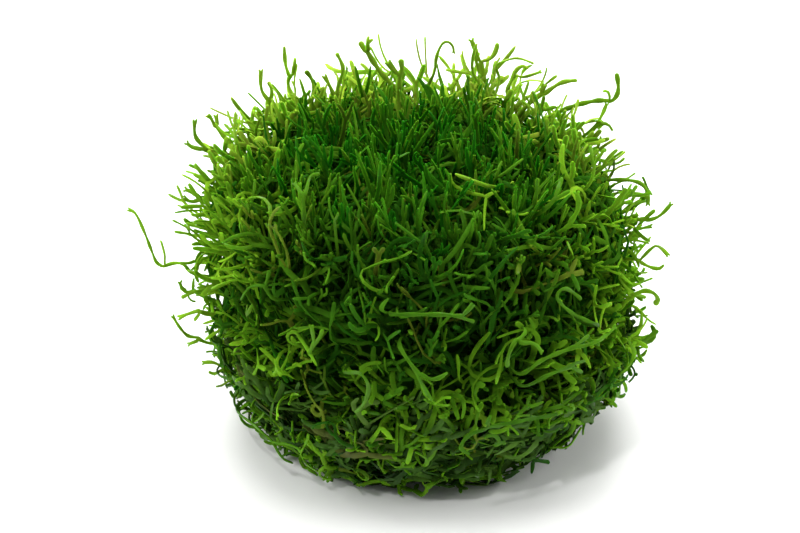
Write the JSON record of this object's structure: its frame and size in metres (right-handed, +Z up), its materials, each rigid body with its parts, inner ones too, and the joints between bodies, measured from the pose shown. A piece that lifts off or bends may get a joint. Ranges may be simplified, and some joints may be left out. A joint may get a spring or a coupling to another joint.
{
  "type": "riccia clump",
  "caption": "Round cushion of tangled riccia, a water plant of narrow green straps that fork again and again, on its flat pressed underside.",
  "frame": {"origin": "middle of the flat round spot that the clump rests on", "axes": "+Z up from the resting spot, -Y out of the side that the picture shows, +X to that side's right"},
  "size_m": [0.0767, 0.0722, 0.0531],
  "materials": {
    "mat": "wet, dark older growth, soft gloss",
    "crown": "wet deep green leaf, soft gloss",
    "left": "wet yellow-green leaf, soft gloss",
    "right": "wet yellow-green leaf, soft gloss",
    "front": "wet bright leaf, glossy",
    "back": "wet green leaf, soft gloss"
  },
  "bodies": {
    "root": {"thallus_mat": "mat", "thallus_left_1": "left", "thallus_left_2": "left", "thallus_left_3": "left", "thallus_left_4": "left", "thallus_left_5": "left", "thallus_left_6": "left", "thallus_left_7": "left", "thallus_crown_1": "crown", "thallus_crown_2": "crown", "thallus_crown_3": "crown", "thallus_crown_4": "crown", "thallus_crown_5": "crown", "thallus_crown_6": "crown", "thallus_crown_7": "crown", "thallus_crown_8": "crown", "thallus_crown_9": "crown", "thallus_crown_10": "crown", "thallus_crown_11": "crown", "thallus_crown_12": "crown", "thallus_right_1": "right", "thallus_right_2": "right", "thallus_right_3": "right", "thallus_right_4": "right", "thallus_right_5": "right", "thallus_right_6": "right", "thallus_right_7": "right", "thallus_right_8": "right", "thallus_right_9": "right", "thallus_front_1": "front", "thallus_front_2": "front", "thallus_front_3": "front", "thallus_front_4": "front", "thallus_front_5": "front", "thallus_front_6": "front", "thallus_front_7": "front", "thallus_front_8": "front", "thallus_front_9": "front", "thallus_front_10": "front", "thallus_front_11": "front", "thallus_front_12": "front", "thallus_back_1": "back", "thallus_back_2": "back", "thallus_back_3": "back", "thallus_back_4": "back", "thallus_back_5": "back", "thallus_back_6": "back", "thallus_back_7": "back", "thallus_back_8": "back", "thallus_back_9": "back", "thallus_back_10": "back", "thallus_back_11": "back", "thallus_back_12": "back"}
  },
  "joints": []
}
